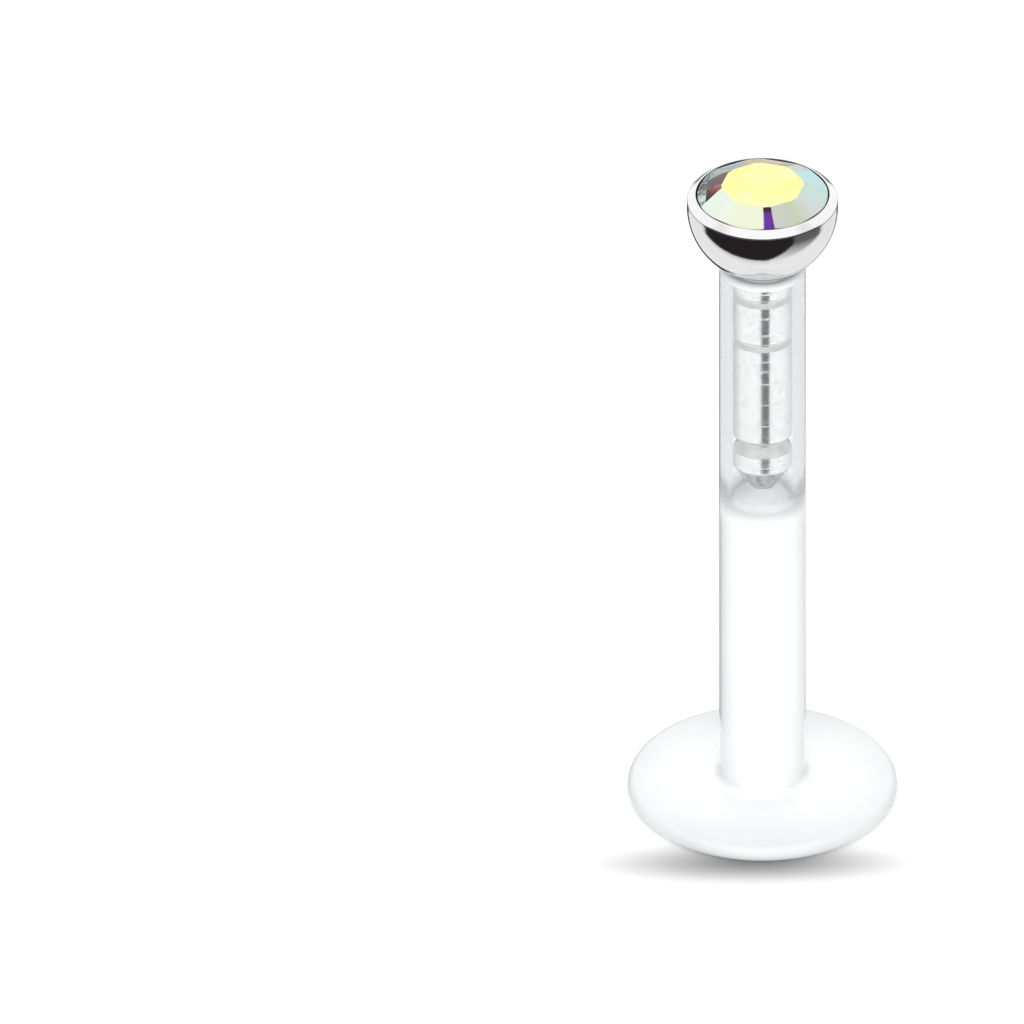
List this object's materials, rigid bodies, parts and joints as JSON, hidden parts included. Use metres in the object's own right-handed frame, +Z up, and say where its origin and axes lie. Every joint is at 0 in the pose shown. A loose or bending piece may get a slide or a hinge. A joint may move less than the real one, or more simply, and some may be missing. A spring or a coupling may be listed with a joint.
{
  "type": "labret stud",
  "caption": "Push-in labret stud: a white polymer bar with a flat round base, and a faceted iridescent crystal in a steel cup whose notched pin pushes into the bar.",
  "frame": {"origin": "centre of the base's flat underside, on the surface that the stud stands on", "axes": "+Z up along the bar, from the base to the crystal; the stud is round about Z, and its first narrow crown facet faces about -Y"},
  "size_m": [0.0038, 0.0038, 0.01],
  "materials": {
    "polymer": "translucent white flexible polymer, smooth as moulded",
    "steel": "polished steel cup, turned steel pin",
    "crystal": "cut crystal with an iridescent coating, foiled behind"
  },
  "bodies": {
    "bar": {"bar": "polymer"},
    "top": {"cup_and_pin": "steel", "crystal": "crystal"}
  },
  "joints": [
    {"name": "top_pull", "type": "slide", "parent": "bar", "child": "top", "axis": [0, 0, 1], "range_m": [0, 0.004]}
  ]
}
